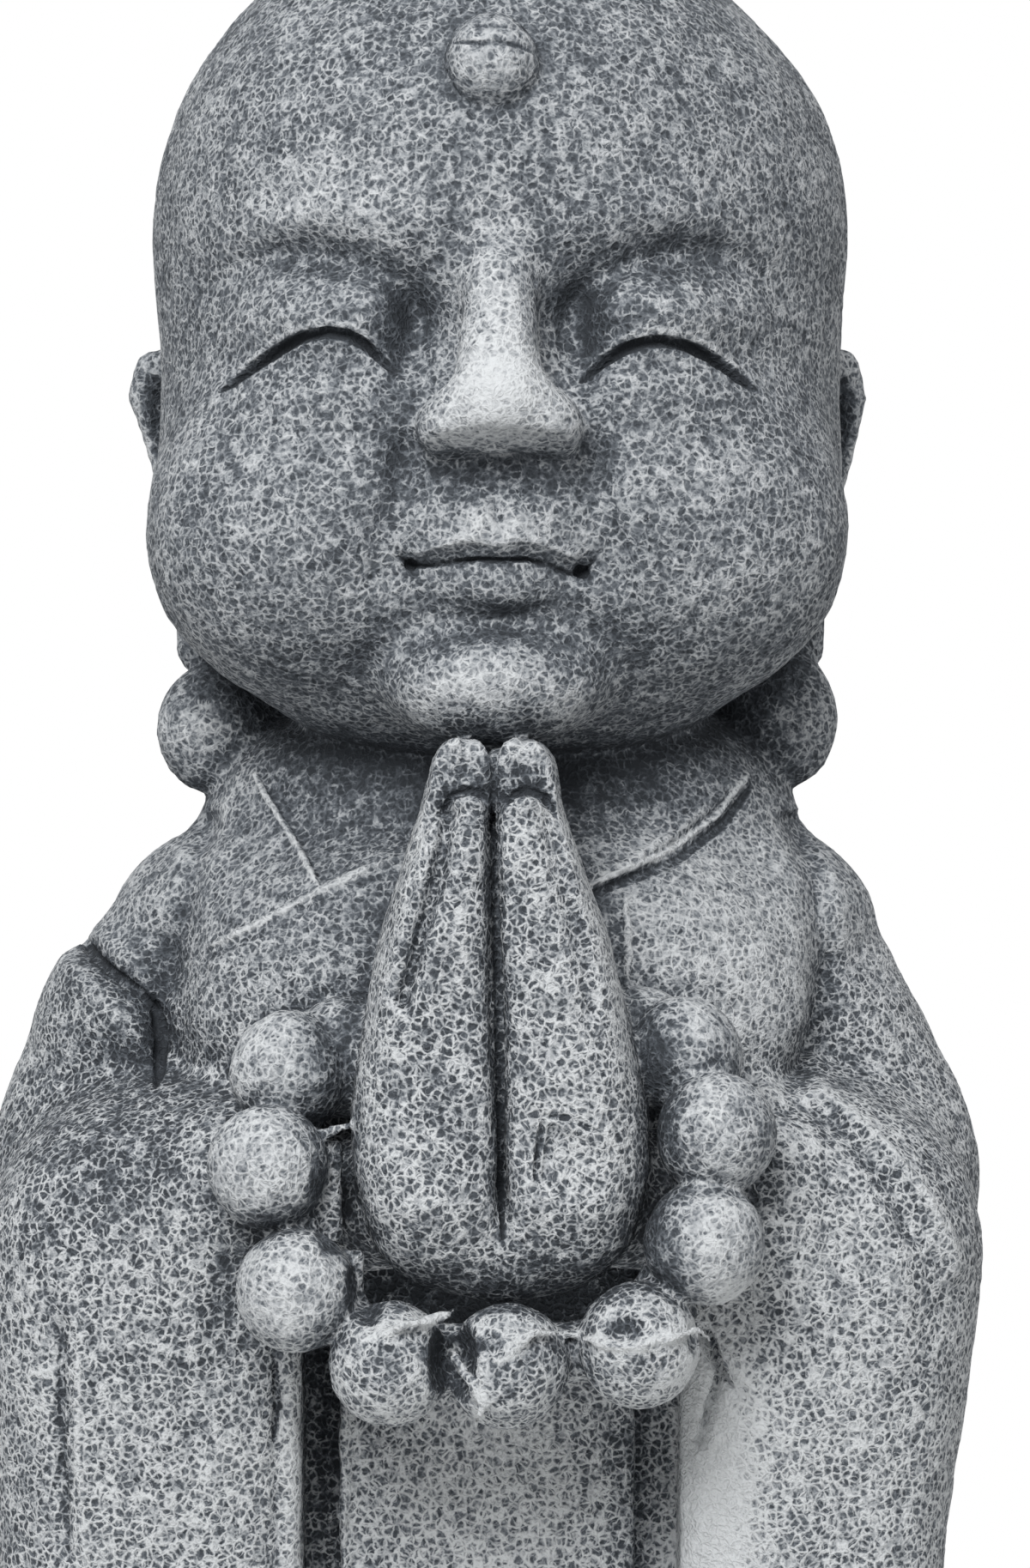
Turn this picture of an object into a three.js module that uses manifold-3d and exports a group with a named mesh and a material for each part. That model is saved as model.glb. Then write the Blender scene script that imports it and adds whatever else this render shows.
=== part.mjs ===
// Child-monk jizo: a mould-cast stone figure, palms together, with a loop of large prayer beads.
// One solid: robe, sleeves, head, hands, beads and low base are cast together.
// Millimetres. Up is +Z, the face looks toward -Y, the viewer's right is +X.
import * as THREE from 'three';
import { mergeVertices } from 'three/addons/utils/BufferGeometryUtils.js';
import Module from 'manifold-3d';

// ---- driving sizes -------------------------------------------------------------------------
const crownHeight = 615;
const baseHeight = 28;
const baseHalfWidth = 112;
const baseHalfDepth = 98;
const skullHeight = 519;
const skullHalf = [101, 99, 96];
const jawHeight = 441;
const cheekHeight = 427;
const shoulderHeight = 318;
const elbowHeight = 262;
const sleeveBottom = 96;
const sleeveTop = 274;
const handFoot = 221.5;
const fingerTop = 372;
const littleFingerTop = 356;
const beadRadius = 16.3;
const cordRadius = 7.5;
const recess = { left: -55, right: 50.2, back: -57, foot: 96, top: 238 };
const gutterBack = -41;
const panelEdges = [-44.7, 37.5];
const roughSkin = 2.0;      // how far the rough casting skin stands proud of the smooth form
const axisDepth = -5;
const aroundCount = 46;
const frontPacking = 0.42;

// Heights between which the rings of the main form are spaced, and how many rings each band has.
const bands = [
  { from: 0, to: 4, rings: 2 },
  { from: 10, to: 27, rings: 3 },
  { from: 29, to: 94, rings: 4 },
  { from: 98, to: 106, rings: 2 },
  { from: 125, to: 230, rings: 4 },
  { from: 246, to: 350, rings: 11 },
  { from: 357, to: 402, rings: 7 },
  { from: 408, to: 511, rings: 19 },
  { from: 522, to: 584, rings: 6 },
  { from: 596, to: crownHeight + 0.6, rings: 3 },
];

// Bead centres, starting at the back left and going round under the hands.
const beads = [
  [-42, -81, 285.5],
  [-57, -91, 282],
  [-61.7, -108, 257.5],
  [-53.8, -116, 225.5],
  [-29, -119, 206.5],
  [2.5, -120, 206],
  [37, -118, 211.5],
  [54.9, -114, 238],
  [58.2, -108, 266.5],
  [50, -92, 286],
  [38, -81, 288.5],
];

// ---- small helpers -------------------------------------------------------------------------
function ramp(value, low, high) {
  const t = Math.min(1, Math.max(0, (value - low) / (high - low)));
  return t * t * (3 - 2 * t);
}

function blendTogether(a, b, width) {
  const near = Math.max(width - Math.abs(a - b), 0) / width;
  return Math.min(a, b) - near * near * width * 0.25;
}

function blendWithin(a, b, width) {
  return -blendTogether(-a, -b, width);
}

function hill(x, z, centreX, centreZ, halfX, halfZ) {
  return Math.exp(-(((x - centreX) / halfX) ** 2) - ((z - centreZ) / halfZ) ** 2);
}

function between(value, places, sizes) {
  if (value <= places[0]) return sizes[0];
  for (let i = 1; i < places.length; i += 1) {
    if (value <= places[i]) {
      const t = (value - places[i - 1]) / (places[i] - places[i - 1]);
      return sizes[i - 1] + (sizes[i] - sizes[i - 1]) * t;
    }
  }
  return sizes[sizes.length - 1];
}

function nearLine(x, z, line, width) {
  let best = 1e9;
  for (let i = 1; i < line.length; i += 1) {
    const [x0, z0] = line[i - 1];
    const [x1, z1] = line[i];
    const length = (x1 - x0) ** 2 + (z1 - z0) ** 2;
    const along = ((x - x0) * (x1 - x0) + (z - z0) * (z1 - z0)) / length;
    const t = Math.min(1, Math.max(0, along));
    best = Math.min(best, (x - x0 - t * (x1 - x0)) ** 2 + (z - z0 - t * (z1 - z0)) ** 2);
  }
  return Math.exp(-best / (width * width));
}

// ---- rounded forms: distance from a point to the surface, negative inside --------------------
function egg(p, centre, half) {
  const d = [p[0] - centre[0], p[1] - centre[1], p[2] - centre[2]];
  const k0 = Math.hypot(d[0] / half[0], d[1] / half[1], d[2] / half[2]);
  const k1 = Math.hypot(d[0] / half[0] ** 2, d[1] / half[1] ** 2, d[2] / half[2] ** 2);
  return (k0 * (k0 - 1)) / Math.max(k1, 1e-6);
}

function limb(p, start, end, startRadius, endRadius) {
  const run = [end[0] - start[0], end[1] - start[1], end[2] - start[2]];
  const d = [p[0] - start[0], p[1] - start[1], p[2] - start[2]];
  const along = (d[0] * run[0] + d[1] * run[1] + d[2] * run[2]) / (run[0] ** 2 + run[1] ** 2 + run[2] ** 2);
  const t = Math.min(1, Math.max(0, along));
  const off = Math.hypot(d[0] - t * run[0], d[1] - t * run[1], d[2] - t * run[2]);
  return off - (startRadius + (endRadius - startRadius) * t);
}

// ---- the figure ----------------------------------------------------------------------------
function robeForm(p) {
  const [x, y, z] = p;
  const hem = 1 - ramp(z, 30, 90);
  const ring = Math.hypot(x / (94 + 10 * hem), (y - 6) / (64 + 14 * hem));
  const column = Math.max((ring - 1) * 66, z - shoulderHeight, 20 - z);
  const slab = (Math.abs(x) / baseHalfWidth) ** 3 + (Math.abs(y + 10) / baseHalfDepth) ** 3;
  const edge = 4 * ramp(z, baseHeight - 6, baseHeight) + 4 * (1 - ramp(z, 0, 5));
  const base = Math.max((slab ** (1 / 3) - 1) * baseHalfDepth + edge, z - baseHeight);
  let form = Math.min(base, column);
  form = blendTogether(form, egg(p, [-1, 8, shoulderHeight + 1], [111, 62, 47]), 12);
  const chest = (Math.abs(x) / 90) ** 2.6 + (Math.abs(y + 14) / 62) ** 2.6 + (Math.abs(z - 292) / 62) ** 2.2;
  form = blendTogether(form, (chest ** 0.4 - 1) * 62, 8);
  return form;
}

function sleeveForm(p, side, extra) {
  const [x, y, z] = p;
  const drop = 1 - ramp(z, 100, 250);
  const halfWidth = 48.5 + extra / 2 - (8 - 0.45 * extra) * drop;
  const centreX = side * (88.5 + extra / 2 - (7 - 0.45 * extra) * drop);
  const halfDepth = 58 - 7 * drop;
  const across = (Math.abs(x - centreX) / halfWidth) ** 2.5 + (Math.abs(y + 31) / halfDepth) ** 2.8;
  const wall = (across ** 0.38 - 1) * halfWidth;
  const top = z - (sleeveTop - 0.0016 * (y + 20) ** 2 - 0.004 * (x - side * 98) ** 2);
  const bottom = sleeveBottom - z;
  return blendWithin(blendWithin(wall, top, 44), bottom, 8);
}

function armForm(p, side, extra) {
  const startX = side * (76 + extra * 0.6);
  const endX = side * (98 + extra);
  const upper = limb(p, [startX, 10, 313], [endX, 10, elbowHeight], 33, 37);
  const lower = limb(p, [side * (102 + extra), 0, 246], [side * 70, -62, 244], 37, 30);
  const arm = Math.min(upper, blendTogether(lower, sleeveForm(p, side, extra), 8));
  return side < 0 ? blendTogether(arm, egg(p, [-101, 4, 288], [34, 36, 29]), 8) : arm;
}

// Folds and robe edges raised or sunk on the front of the body.
function bodyRelief(p) {
  const [x, y, z] = p;
  const front = ramp(-y, 10, 35);
  const bandTop = between(x, [-112, -80, -50, -30, 0, 30], [288, 309, 330.5, 340, 358, 378]);
  const bandLow = between(x, [-20, 25, 50, 70, 88], [300, 331, 345.5, 362, 382]);
  const band = ramp(bandTop - z, -2, 2);
  let rise = 2.8 * band * (1 - ramp(-x, 84, 112));
  rise -= 2 * ramp(bandLow - z, -2, 2) * ramp(x, -30, 0) * (1 - ramp(x, 60, 95));
  rise *= ramp(z, 270, 296) * (1 - ramp(z, 380, 392));
  rise -= 5.5 * nearLine(x, z, [[-128, 318], [-113, 307], [-99, 296], [-96, 286]], 4);
  rise += 2.5 * nearLine(x, z, [[-124, 309], [-110, 297], [-102, 286]], 7);
  rise -= 3 * nearLine(x, z, [[84, 350], [90, 332], [92, 310], [90, 292], [82, 278]], 5);
  rise -= 2.6 * nearLine(x, z, [[-84, 348], [-90, 322], [-95, 304], [-96, 292]], 4.5);
  rise += 2.2 * nearLine(x, z, [[74, 276], [90, 275], [104, 264], [118, 246], [126, 228]], 5);
  return rise * front;
}

// Narrow bridge, round tip, and a flat underside that slopes up toward the tip.
function noseForm(p) {
  let nose = limb(p, [0, -80, 512], [0, -95.5, 495], 8, 9.5);
  nose = Math.min(nose, limb(p, [0, -95.5, 495], [0, -101.5, 478], 9.5, 10.5));
  nose = Math.min(nose, limb(p, [0, -101.5, 478], [0, -105.5, 464], 10.5, 12));
  nose = blendTogether(nose, egg(p, [0, -105.5, 460], [17, 13, 12]), 5);
  nose = blendTogether(nose, egg(p, [Math.sign(p[0]) * 13.5, -102, 456], [9, 12.5, 9]), 4);
  return blendWithin(nose, 443 - (p[1] + 88) * 0.42 - p[2], 2);
}

function headForm(p) {
  const [x, y, z] = p;
  let form = egg(p, [0, 2, skullHeight], skullHalf);
  form = blendTogether(form, egg(p, [-0.3, -6, jawHeight], [98, 87, 73]), 34);
  form = blendTogether(form, egg(p, [Math.sign(x) * 48.5 - 1, -50, cheekHeight], [47.5, 44, 43]), 24);
  form = blendTogether(form, egg(p, [0, -20, 392], [60, 58, 25]), 14);
  form = blendTogether(form, egg(p, [-1, -79, 387.5], [29, 21.5, 16.5]), 11);
  const side = Math.abs(x + 1);
  const arch = [
    [10, 483], [16, 487], [22, 492], [28, 496.5], [36, 501], [50, 505.5], [62, 506], [72, 503], [82, 497],
  ];
  const brow = 499 + 8 * Math.sin(Math.min(1, Math.max(0, (side - 4) / 76)) * Math.PI);
  const wide = ramp(side, 6, 24) * (1 - ramp(side, 50, 92));
  let rise = -4.2 * wide * nearLine(side, z, arch, 5.5);
  rise += 2.2 * ramp(side, 6, 24) * (1 - ramp(side, 56, 92)) * Math.exp(-(((brow - z + 8) / 7) ** 2));
  rise -= 6.5 * hill(side, z, 23, 483, 6.5, 14);
  rise -= 3.5 * hill(side, z, 17, 486, 9, 14);
  rise += 7.5 * hill(side, z, 50, 487, 22, 9.5);
  rise += 3.5 * hill(side, z, 50, 467, 25, 10);
  rise -= 1.5 * hill(x, z, 1, 405.5, 8, 4);
  rise -= 2.6 * nearLine(side, z, [[25, 450], [26, 438], [31, 427], [32, 417]], 4.5);
  form -= rise * ramp(-y, 35, 60);
  form += 2.6 * ramp(x, 15, 70) * ramp(z, 545, 585);
  form = blendTogether(form, noseForm(p), 6);
  form = blendTogether(form, egg(p, [-1, -84, 430], [25, 17, 14]), 8);
  form = blendTogether(form, egg(p, [-1, -85.5, 413.5], [15, 11, 6]), 10);
  return form;
}

function mainForm(p) {
  let form = robeForm(p);
  form = blendTogether(form, armForm(p, -1, 10), 3);
  form = blendTogether(form, armForm(p, 1, 0), 3);
  form = blendTogether(form, egg(p, [0, 8, 350], [86, 54, 44]), 10);
  form -= bodyRelief(p);
  form = blendTogether(form, headForm(p), 3);
  const wrist = Math.min(
    limb(p, [-22, -84, 246], [-60, -50, 244], 17, 22),
    limb(p, [22, -84, 246], [60, -50, 244], 17, 22),
  );
  return blendTogether(form, wrist, 4);
}

const handHeights = [221, 228, 238, 257, 271, 294, 317, 340, 352, 372];
const handWidths = [20, 28, 34, 39.6, 39.6, 36, 31, 23.5, 19, 15];

// A hand seen from above is a rounded block; the pair meet on the middle plane.
function handOutline(z) {
  const width = between(z, handHeights, handWidths);
  const front = between(z, [221, 233, 248, 300, 340, littleFingerTop], [-110, -122, -130, -128, -125, -123]);
  const back = between(z, [221, 238, 270, 320, 352, 372], [-88, -70, -62, -66, -76, -84]);
  return { width, front: z > littleFingerTop ? -115 : front, back };
}

// ---- building meshes -----------------------------------------------------------------------
function closedTube(rings, closeTop = true) {
  const count = rings[0].length;
  const places = rings.flat(2);
  const faces = [];
  for (let i = 0; i + 1 < rings.length; i += 1) {
    for (let j = 0; j < count; j += 1) {
      const a = i * count + j;
      const b = i * count + ((j + 1) % count);
      faces.push(a, b, b + count, a, b + count, a + count);
    }
  }
  const ends = closeTop ? [0, rings.length - 1] : [0];
  for (const end of ends) {
    const middle = [0, 1, 2].map((k) => rings[end].reduce((sum, v) => sum + v[k], 0) / count);
    const hub = places.length / 3;
    places.push(...middle);
    for (let j = 0; j < count; j += 1) {
      const a = end * count + j;
      const b = end * count + ((j + 1) % count);
      if (end === 0) faces.push(hub, b, a);
      else faces.push(hub, a, b);
    }
  }
  const geometry = new THREE.BufferGeometry();
  geometry.setAttribute('position', new THREE.Float32BufferAttribute(places, 3));
  geometry.setIndex(faces);
  return geometry;
}

function surfaceRadius(angle, z) {
  const at = (r) => mainForm([r * Math.sin(angle), axisDepth - r * Math.cos(angle), z]) - roughSkin;
  let outer = 200;
  while (outer > 4 && at(outer - 3) > 0) outer -= 3;
  let inner = outer - 3;
  for (let i = 0; i < 12; i += 1) {
    const middle = (inner + outer) / 2;
    if (at(middle) > 0) outer = middle;
    else inner = middle;
  }
  return outer;
}

function mainSolid() {
  const rings = [];
  for (const band of bands) {
    for (let i = 0; i < band.rings; i += 1) {
      const z = band.from + ((band.to - band.from) * i) / Math.max(band.rings - 1, 1);
      const ring = [];
      for (let j = 0; j < aroundCount; j += 1) {
        const turn = (j / aroundCount) * 2 * Math.PI;
        const angle = turn - frontPacking * Math.sin(turn);
        const r = surfaceRadius(angle, z);
        ring.push([r * Math.sin(angle), axisDepth - r * Math.cos(angle), z]);
      }
      rings.push(ring);
    }
  }
  return closedTube(rings);
}

function handSolid(side) {
  const heights = [handFoot, 226, 234, 246, 262, 280, 300, 320, 338, 349, 355.5, 358, 366, 370, 372.5];
  const rings = heights.map((z, level) => {
    const { width, front, back } = handOutline(z);
    const shrink = level === heights.length - 1 ? 0.7 : 1;
    const lean = -1.8 + 2.8 * (1 - ramp(z, 235, 345));
    const ring = [];
    for (let j = 0; j < 12; j += 1) {
      const turn = (j / 12) * 2 * Math.PI;
      const across = Math.sign(Math.cos(turn)) * Math.abs(Math.cos(turn)) ** 0.75;
      const along = Math.sign(Math.sin(turn)) * Math.abs(Math.sin(turn)) ** 0.75;
      const x = lean + side * (0.4 + (width / 2) * (1 + across * shrink));
      const y = (front + back) / 2 + side * ((back - front) / 2) * along * shrink;
      ring.push([x, y, z]);
    }
    return ring;
  });
  return closedTube(rings);
}

const wasm = await Module();
wasm.setup();

function toSolid(geometry) {
  const bare = new THREE.BufferGeometry();
  bare.setAttribute('position', geometry.getAttribute('position').clone());
  if (geometry.index) bare.setIndex(geometry.index.clone());
  const joined = mergeVertices(bare, 1e-4);
  const vertProperties = new Float32Array(joined.getAttribute('position').array);
  const triVerts = new Uint32Array(joined.index.array);
  return new wasm.Manifold(new wasm.Mesh({ numProp: 3, vertProperties, triVerts }));
}

function boxBetween(low, high) {
  const box = new THREE.BoxGeometry(high[0] - low[0], high[1] - low[1], high[2] - low[2]);
  box.translate((low[0] + high[0]) / 2, (low[1] + high[1]) / 2, (low[2] + high[2]) / 2);
  return box;
}

function cordSolid() {
  const path = beads.map(([x, y, z]) => new THREE.Vector3(x * 0.97, y + 6, z));
  path.push(new THREE.Vector3(20, -70, 290));
  path.push(new THREE.Vector3(-22, -70, 289));
  const curve = new THREE.CatmullRomCurve3(path, true, 'catmullrom', 0.5);
  return new THREE.TubeGeometry(curve, 33, cordRadius, 6, true);
}

function eggSolid(centre, half) {
  const ball = new THREE.SphereGeometry(1, 10, 6);
  ball.rotateX(Math.PI / 2);
  ball.scale(...half);
  ball.translate(...centre);
  return toSolid(ball);
}

function earSolid(side) {
  const places = [[89, 10, 484], [99.5, 14, 483], [103.5, 17, 473], [98.5, 17, 454], [89, 14, 436]];
  const path = places.map(([x, y, z]) => new THREE.Vector3(side * x, y, z));
  const tube = new THREE.TubeGeometry(new THREE.CatmullRomCurve3(path), 6, 5.5, 6, false);
  const rings = [];
  const at = tube.getAttribute('position');
  for (let i = 0; i < 7; i += 1) {
    const ring = [];
    for (let j = 5; j >= 0; j -= 1) ring.push([at.getX(i * 7 + j), at.getY(i * 7 + j), at.getZ(i * 7 + j)]);
    rings.push(ring);
  }
  return toSolid(closedTube(rings));
}

let statue = toSolid(mainSolid());
const recessBox = boxBetween([recess.left, -160, recess.foot], [recess.right, recess.back, recess.top]);
statue = statue.subtract(toSolid(recessBox));
for (const [left, right] of [[recess.left, panelEdges[0]], [panelEdges[1], recess.right]]) {
  const gutter = boxBetween([left, -100, recess.foot], [right, gutterBack, recess.top]);
  statue = statue.subtract(toSolid(gutter));
}
for (const side of [-1, 1]) {
  statue = statue.add(toSolid(handSolid(side)));
}
statue = statue.add(toSolid(boxBetween([-3, -112, 240], [3, -74, 366])));
statue = statue.add(eggSolid([1.2, -106, 238], [21, 19, 17]));
statue = statue.add(toSolid(cordSolid()));
for (const bead of beads) statue = statue.add(eggSolid(bead, [beadRadius, beadRadius, beadRadius]));
statue = statue.add(eggSolid([-2, -90, 556], [13, 12, 13]));
for (const side of [-1, 1]) {
  statue = statue.add(eggSolid([side * 72, 16, 380], [18, 13, 22]));
  statue = statue.add(eggSolid([side * 82.5, 6, 378], [17.8, 14.5, 20.5]));
  statue = statue.add(earSolid(side));
  statue = statue.add(eggSolid([side * 31, -72, 32], [22, 32, 18]));
}

// Small pockets shut in behind the hands are solid stone: only the outer skin is kept.
function outerSkin(mesh) {
  const owner = Array.from({ length: mesh.vertProperties.length / 3 }, (_, i) => i);
  const find = (i) => {
    let at = i;
    while (owner[at] !== at) at = owner[at];
    owner[i] = at;
    return at;
  };
  const { triVerts } = mesh;
  for (let i = 0; i < triVerts.length; i += 3) {
    owner[find(triVerts[i + 1])] = find(triVerts[i]);
    owner[find(triVerts[i + 2])] = find(triVerts[i]);
  }
  const counts = new Map();
  for (const v of triVerts) counts.set(find(v), (counts.get(find(v)) ?? 0) + 1);
  const largest = [...counts].sort((one, two) => two[1] - one[1])[0][0];
  const kept = [];
  for (let i = 0; i < triVerts.length; i += 3) {
    if (find(triVerts[i]) === largest) kept.push(triVerts[i], triVerts[i + 1], triVerts[i + 2]);
  }
  return kept;
}

const cast = statue.getMesh();
const skin = new THREE.BufferGeometry();
skin.setAttribute('position', new THREE.Float32BufferAttribute(Float32Array.from(cast.vertProperties), 3));
skin.setIndex(outerSkin(cast));
const shape = mergeVertices(skin.toNonIndexed(), 1e-5);
shape.computeBoundingBox();
const span = shape.boundingBox;
shape.translate(-(span.min.x + span.max.x) / 2, -(span.min.y + span.max.y) / 2, -span.min.z);
shape.computeVertexNormals();

const stone = new THREE.MeshStandardMaterial({ color: 0x80858a, roughness: 0.85, metalness: 0 });
const figure = new THREE.Mesh(shape, stone);
figure.name = 'jizo_statue';

const group = new THREE.Group();
group.name = 'stone_jizo_statue';
group.add(figure);

export default group;
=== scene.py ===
import math

import bmesh
import bpy
import numpy as np
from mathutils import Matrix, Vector


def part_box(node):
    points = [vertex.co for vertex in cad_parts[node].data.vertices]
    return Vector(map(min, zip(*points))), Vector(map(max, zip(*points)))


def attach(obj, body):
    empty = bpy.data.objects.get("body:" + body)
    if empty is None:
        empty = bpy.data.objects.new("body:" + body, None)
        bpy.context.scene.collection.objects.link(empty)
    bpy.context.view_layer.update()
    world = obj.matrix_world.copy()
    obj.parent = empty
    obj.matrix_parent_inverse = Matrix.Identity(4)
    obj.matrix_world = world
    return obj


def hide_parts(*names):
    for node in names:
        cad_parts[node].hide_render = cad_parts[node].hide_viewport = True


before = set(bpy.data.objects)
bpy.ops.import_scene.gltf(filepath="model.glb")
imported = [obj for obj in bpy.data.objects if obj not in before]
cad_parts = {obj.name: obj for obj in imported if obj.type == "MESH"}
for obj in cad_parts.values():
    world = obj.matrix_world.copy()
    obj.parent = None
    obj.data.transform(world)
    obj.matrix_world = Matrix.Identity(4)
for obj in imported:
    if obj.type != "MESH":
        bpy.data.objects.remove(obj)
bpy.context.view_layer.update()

# A child-monk jizo cast in stone: one piece, robe, head, hands, beads and base together.
# The form is built up like clay from rounded lumps and cuts, in millimetres, round the head's
# own axis, and is set on the solid's box at the end. Up is +Z and the face looks toward -Y. Left
# and right are those of someone who faces it.

GRAIN = 1.5      # mm between the points the clay is worked on
SKIN_TRIANGLES = 196000

# ---- how clay is worked -------------------------------------------------------------------


def blend_together(a, b, width):
    if width <= 0:
        return np.minimum(a, b)
    near = np.maximum(width - np.abs(a - b), 0) / width
    return np.minimum(a, b) - near * near * (width / 4)


def blend_within(a, b, width):
    return -blend_together(-a, -b, width)


def ramp(value, low, high):
    t = np.clip((value - low) / (high - low), 0, 1)
    return t * t * (3 - 2 * t)


def hill(x, z, centre_x, centre_z, half_x, half_z):
    return np.exp(-((x - centre_x) / half_x) ** 2 - ((z - centre_z) / half_z) ** 2)


def near_line(x, z, line, width):
    """1 on a line drawn across the front, falling to 0 a little way off it."""
    best = None
    for (x0, z0), (x1, z1) in zip(line[:-1], line[1:]):
        run_x, run_z = x1 - x0, z1 - z0
        along = np.clip(((x - x0) * run_x + (z - z0) * run_z) / (run_x ** 2 + run_z ** 2), 0, 1)
        off = (x - x0 - along * run_x) ** 2 + (z - z0 - along * run_z) ** 2
        best = off if best is None else np.minimum(best, off)
    return np.exp(-best / (width * width))


def soft_lines(x, z, lines):
    """Rise of soft lines drawn across the front, each given as its rise, its places and its width."""
    return sum(rise * near_line(x, z, line, width) for rise, line, width in lines)


class Lump:
    """A form given by its distance function and the box it lies in."""

    def __init__(self, low, high, distance):
        self.low = np.array(low, float)
        self.high = np.array(high, float)
        self.distance = distance


def egg(centre, half):
    c, r = np.array(centre, float), np.array(half, float)

    def distance(x, y, z):
        dx, dy, dz = x - c[0], y - c[1], z - c[2]
        k0 = np.sqrt((dx / r[0]) ** 2 + (dy / r[1]) ** 2 + (dz / r[2]) ** 2)
        k1 = np.sqrt((dx / r[0] ** 2) ** 2 + (dy / r[1] ** 2) ** 2 + (dz / r[2] ** 2) ** 2)
        return k0 * (k0 - 1) / np.maximum(k1, 1e-6)

    return Lump(c - r, c + r, distance)


def limb(start, end, start_radius, end_radius):
    a, b = np.array(start, float), np.array(end, float)
    run = b - a

    def distance(x, y, z):
        dx, dy, dz = x - a[0], y - a[1], z - a[2]
        t = np.clip((dx * run[0] + dy * run[1] + dz * run[2]) / (run ** 2).sum(), 0, 1)
        off = np.sqrt((dx - t * run[0]) ** 2 + (dy - t * run[1]) ** 2 + (dz - t * run[2]) ** 2)
        return off - (start_radius + (end_radius - start_radius) * t)

    low = np.minimum(a - start_radius, b - end_radius)
    high = np.maximum(a + start_radius, b + end_radius)
    return Lump(low, high, distance)


def roll(places, radii):
    """A roll of clay laid along a line of places."""
    parts = [limb(places[i], places[i + 1], radii[i], radii[i + 1]) for i in range(len(places) - 1)]

    def distance(x, y, z):
        d = parts[0].distance(x, y, z)
        for part in parts[1:]:
            d = np.minimum(d, part.distance(x, y, z))
        return d

    return Lump(np.min([p.low for p in parts], 0), np.max([p.high for p in parts], 0), distance)


def block(low, high, corner):
    lo, hi = np.array(low, float), np.array(high, float)
    c, h = (lo + hi) / 2, (hi - lo) / 2 - corner

    def distance(x, y, z):
        qx, qy, qz = np.abs(x - c[0]) - h[0], np.abs(y - c[1]) - h[1], np.abs(z - c[2]) - h[2]
        outside = np.sqrt(np.maximum(qx, 0) ** 2 + np.maximum(qy, 0) ** 2 + np.maximum(qz, 0) ** 2)
        return outside + np.minimum(np.maximum(qx, np.maximum(qy, qz)), 0) - corner

    return Lump(lo, hi, distance)


class Clay:
    """A block of space in which the distance to the surface is kept at every grid point."""

    def __init__(self, low, high):
        start = [math.floor(v / GRAIN) for v in low]
        stop = [math.ceil(v / GRAIN) for v in high]
        self.start = start
        self.axes = [(np.arange(a, b + 1) * GRAIN).astype(np.float32) for a, b in zip(start, stop)]
        self.field = np.full([len(a) for a in self.axes], 60, np.float32)

    def window(self, low, high):
        cut = []
        for axis, a, b in zip(self.axes, low, high):
            first = max(int(np.searchsorted(axis, a)) - 1, 0)
            last = min(int(np.searchsorted(axis, b)) + 1, len(axis))
            cut.append(slice(first, last))
        x, y, z = (axis[c] for axis, c in zip(self.axes, cut))
        return tuple(cut), x[:, None, None], y[None, :, None], z[None, None, :]

    def work(self, lump, blend, how):
        reach = blend + 3 * GRAIN + 2
        cut, x, y, z = self.window(lump.low - reach, lump.high + reach)
        self.field[cut] = how(self.field[cut], lump.distance(x, y, z).astype(np.float32), blend)

    def join(self, lump, blend=0.0):
        self.work(lump, blend, blend_together)

    def cut(self, lump, blend=0.0):
        self.work(lump, blend, lambda a, b, width: blend_within(a, -b, width))

    def swell(self, low, high, amount):
        """Raise the surface by amount(x, y, z) millimetres inside a box."""
        cut, x, y, z = self.window(low, high)
        self.field[cut] -= amount(x, y, z).astype(np.float32)

    def take(self, other, blend):
        """Join another block of clay on the same grid."""
        cut = tuple(slice(o - s, o - s + n) for o, s, n in zip(other.start, self.start, other.field.shape))
        self.field[cut] = blend_together(self.field[cut], other.field, blend)

    def sample(self, points):
        whole, part = [], []
        for k, axis in enumerate(self.axes):
            t = np.clip((points[:, k] - axis[0]) / GRAIN, 0, len(axis) - 1.001)
            whole.append(t.astype(np.int32))
            part.append((t - whole[-1]).astype(np.float32))
        total = np.zeros(len(points), np.float32)
        for corner in range(8):
            step = [(corner >> k) & 1 for k in range(3)]
            weight = np.ones(len(points), np.float32)
            for k in range(3):
                weight = weight * (part[k] if step[k] else 1 - part[k])
            total += weight * self.field[whole[0] + step[0], whole[1] + step[1], whole[2] + step[2]]
        return total

    def slope(self, points, reach=None):
        reach = reach or GRAIN * 0.6
        rise = [self.sample(points + d) - self.sample(points - d) for d in np.eye(3) * reach]
        rise = np.stack(rise, 1)
        return rise / np.maximum(np.linalg.norm(rise, axis=1, keepdims=True), 1e-9)


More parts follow.
